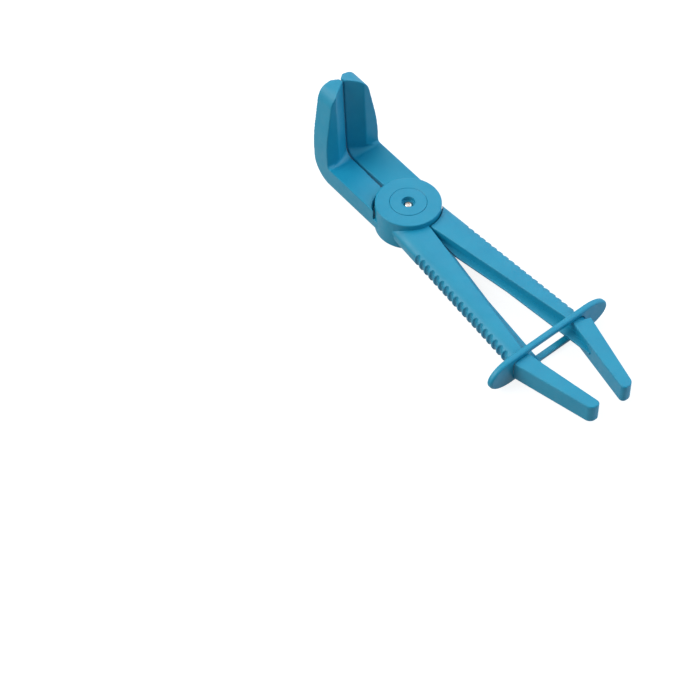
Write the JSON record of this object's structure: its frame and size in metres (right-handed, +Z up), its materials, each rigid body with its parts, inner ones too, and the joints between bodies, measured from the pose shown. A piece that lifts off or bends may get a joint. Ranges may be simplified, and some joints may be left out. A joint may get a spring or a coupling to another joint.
{
  "type": "angled hose clamp pliers",
  "caption": "Plastic pinch-off pliers for hoses: crossed levers on a screw pivot, upright bevelled jaws, notched grips and a sliding ring that locks the handles.",
  "frame": {"origin": "on the pivot axis, in the plane of the hub's flat underside that the tool rests on", "axes": "+Z up along the pivot axis, +Y from the pivot towards the jaws, +X to the right as seen from the handles"},
  "size_m": [0.083, 0.2288, 0.0637],
  "materials": {
    "upper_lever": "satin moulded nylon",
    "lower_lever": "satin moulded nylon",
    "pivot_cap": "satin moulded nylon",
    "pivot_boss": "satin moulded nylon",
    "pivot_screw": "zinc plated",
    "pivot_nut": "zinc plated",
    "locking_ring": "satin moulded nylon"
  },
  "bodies": {
    "lower_half": {"lower_lever": "lower_lever", "pivot_cap": "pivot_cap", "pivot_boss": "pivot_boss", "pivot_screw": "pivot_screw", "pivot_nut": "pivot_nut"},
    "upper_half": {"upper_lever": "upper_lever"},
    "ring": {"locking_ring": "locking_ring"}
  },
  "joints": [
    {"name": "lever_hinge", "type": "hinge", "parent": "lower_half", "child": "upper_half", "pos_m": [0, 0, 0], "axis": [0, 0, -1], "range_deg": [0, 10]},
    {"name": "ring_slide", "type": "slide", "parent": "lower_half", "child": "ring", "axis": [-0.0743, 0.9972, 0], "range_m": [0, 0.0901]}
  ],
  "couplings": [
    {"joint": "ring_slide", "follows": "lever_hinge", "m_per_rad": 0.5157}
  ]
}
